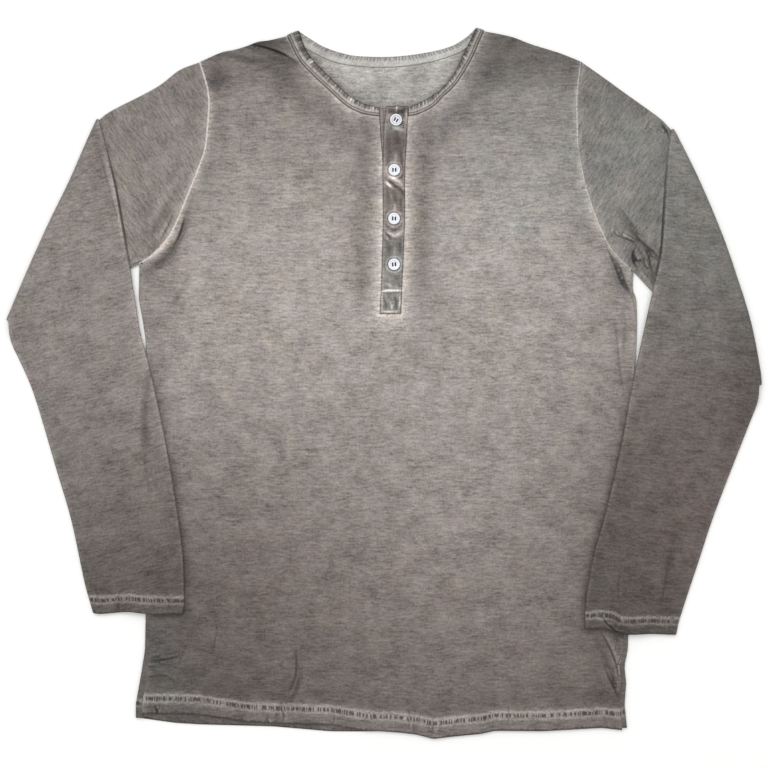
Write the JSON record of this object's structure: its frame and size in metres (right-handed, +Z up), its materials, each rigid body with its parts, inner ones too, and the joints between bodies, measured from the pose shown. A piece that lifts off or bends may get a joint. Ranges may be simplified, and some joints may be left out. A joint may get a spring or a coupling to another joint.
{
  "type": "long-sleeve henley shirt",
  "caption": "Long-sleeve henley laid flat on its back: gathered neck binding, buttoned placket, turned hem and cuffs, each sleeve folded forward over itself and down onto the body",
  "frame": {"origin": "the middle of the outline, on the surface that the shirt lies on", "axes": "+X runs across the shirt to the viewer's right, +Y from the hem to the neck, +Z up from the surface"},
  "size_m": [0.8009, 0.7544, 0.0067],
  "materials": {
    "jersey": "garment-dyed slub jersey, washed unevenly, matt",
    "jersey_inside": "inside of the same jersey, paler, matt",
    "buttons": "white polyester resin, softly glossy"
  },
  "bodies": {
    "root": {"back_panel": "jersey_inside", "front_panel": "jersey", "sleeve_left": "jersey", "sleeve_right": "jersey", "neck_binding": "jersey", "placket_upper": "jersey", "placket_under": "jersey_inside", "button_1": "buttons", "button_2": "buttons", "button_3": "buttons", "button_4": "buttons"}
  },
  "joints": []
}
